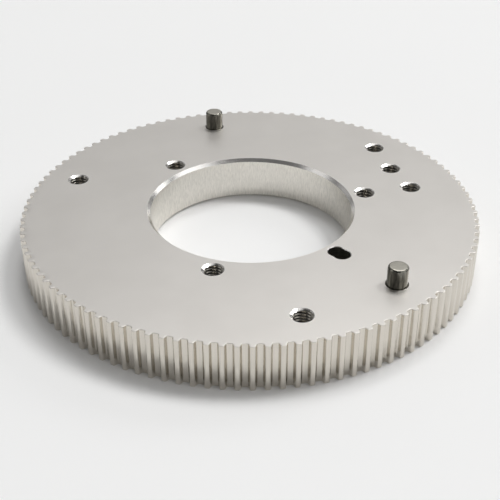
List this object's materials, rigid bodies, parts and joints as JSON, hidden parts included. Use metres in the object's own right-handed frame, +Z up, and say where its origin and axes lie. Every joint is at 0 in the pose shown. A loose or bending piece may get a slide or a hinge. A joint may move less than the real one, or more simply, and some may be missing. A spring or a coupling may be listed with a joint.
{
  "type": "timing belt pulley",
  "caption": "Flangeless toothed timing belt ring with a large chamfered bore, tapped holes on three circles, a short slot and two dowel pins.",
  "frame": {"origin": "on the bore axis, in the bottom face of the ring", "axes": "+Z up along the bore axis, from the flat bottom face towards the face that the dowel pins stand out of; +X through the first inner tapped hole and the first tapped hole of the pair, which lie on one radius"},
  "size_m": [0.072, 0.072, 0.0104],
  "materials": {
    "anodised_aluminium": "fine bead-blasted and clear anodised, satin",
    "pin_steel": "hardened and ground, slightly dull"
  },
  "bodies": {
    "root": {"pulley_ring": "anodised_aluminium", "dowel_pin_a": "pin_steel", "dowel_pin_b": "pin_steel"}
  },
  "joints": []
}
